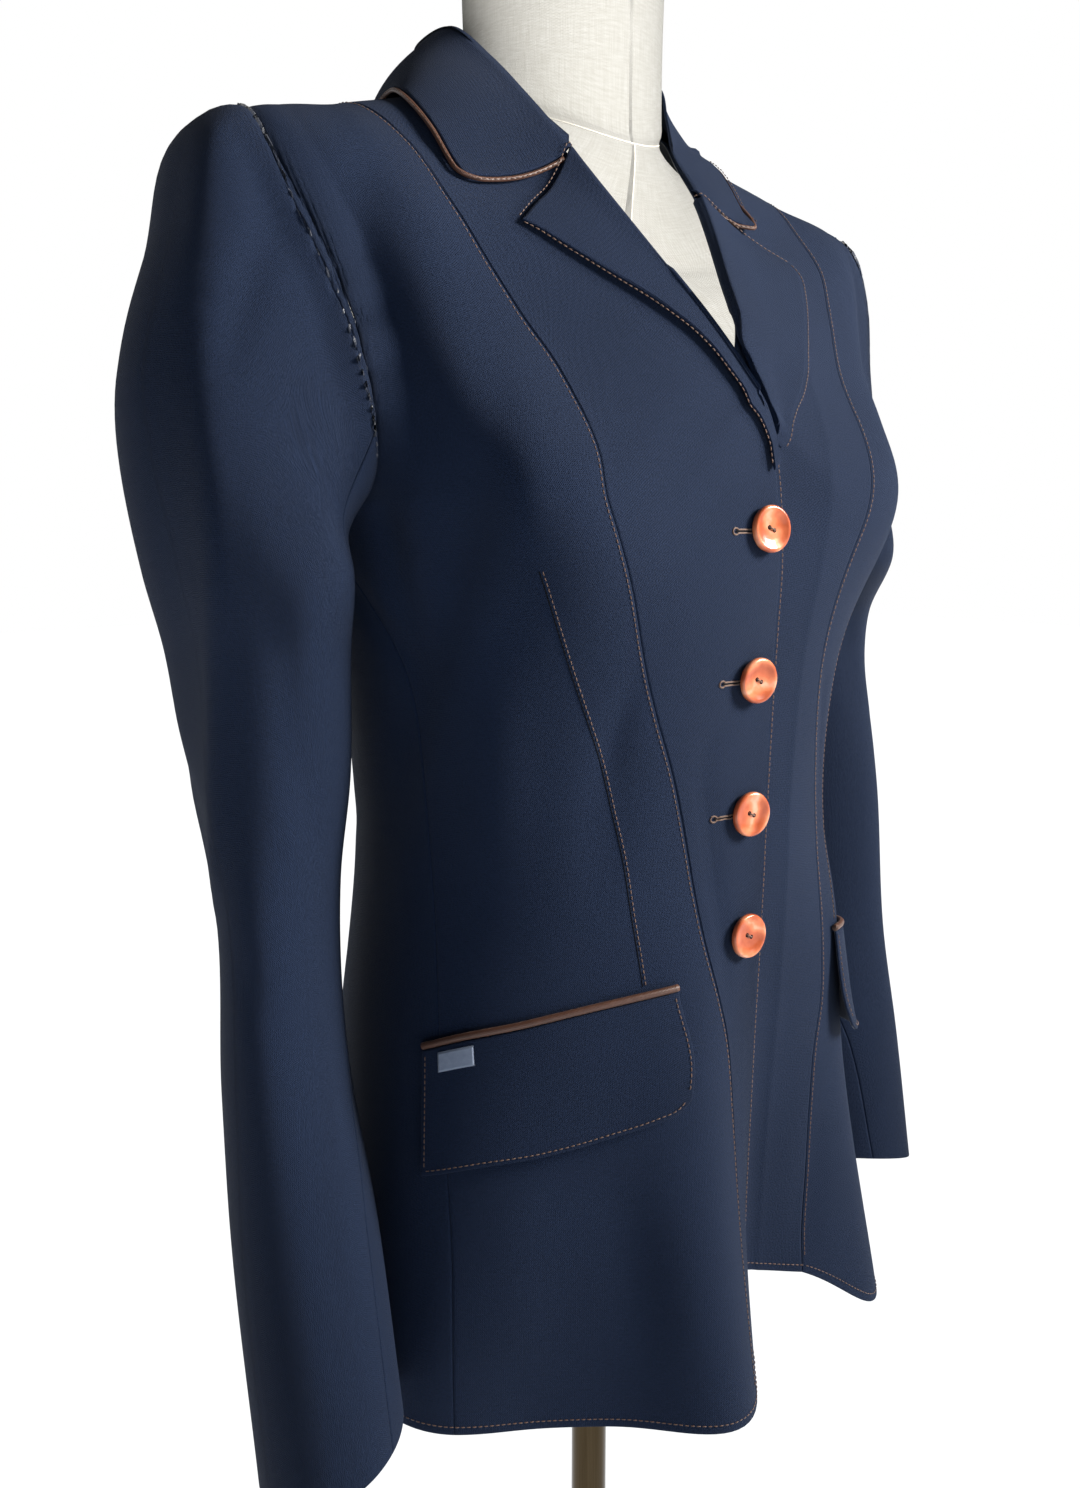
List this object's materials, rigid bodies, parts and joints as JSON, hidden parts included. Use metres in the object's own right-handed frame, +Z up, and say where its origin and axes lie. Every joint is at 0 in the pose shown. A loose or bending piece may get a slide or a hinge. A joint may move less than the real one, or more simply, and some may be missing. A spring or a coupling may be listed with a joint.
{
  "type": "riding jacket on a limbless dress form",
  "caption": "Fitted single-breasted riding jacket with notched lapels, piped collar and flap pockets, shown buttoned on a limbless dress form with a pole stand.",
  "frame": {"origin": "centre of the stand's underside, on the surface that it stands on", "axes": "+Z up along the pole; the jacket's front faces -Y; +X is the wearer's left"},
  "size_m": [0.5238, 0.35, 1.513],
  "materials": {
    "navy_wool": "fine worsted twill, matt with a slight sheen",
    "brown_piping": "smooth corded binding",
    "tab_grey": "satin woven tape, blank",
    "bronze_button": "pearly bronze",
    "cream_linen": "plain woven linen over a hard shell",
    "pole_chrome": "polished tube",
    "foot_black": "satin black"
  },
  "bodies": {
    "root": {"front_right": "navy_wool", "side_front_right": "navy_wool", "side_panel_right": "navy_wool", "back_right": "navy_wool", "lapel_right": "navy_wool", "upper_sleeve_right": "navy_wool", "under_sleeve_right": "navy_wool", "flap_right": "navy_wool", "flap_piping_right": "brown_piping", "front_left": "navy_wool", "side_front_left": "navy_wool", "side_panel_left": "navy_wool", "back_left": "navy_wool", "lapel_left": "navy_wool", "upper_sleeve_left": "navy_wool", "under_sleeve_left": "navy_wool", "flap_left": "navy_wool", "flap_piping_left": "brown_piping", "collar": "navy_wool", "collar_piping": "brown_piping", "flap_tab": "tab_grey", "button_1": "bronze_button", "button_2": "bronze_button", "button_3": "bronze_button", "button_4": "bronze_button", "form_torso": "cream_linen", "form_neck_cap": "cream_linen", "form_pole": "pole_chrome", "form_foot": "foot_black"}
  },
  "joints": []
}
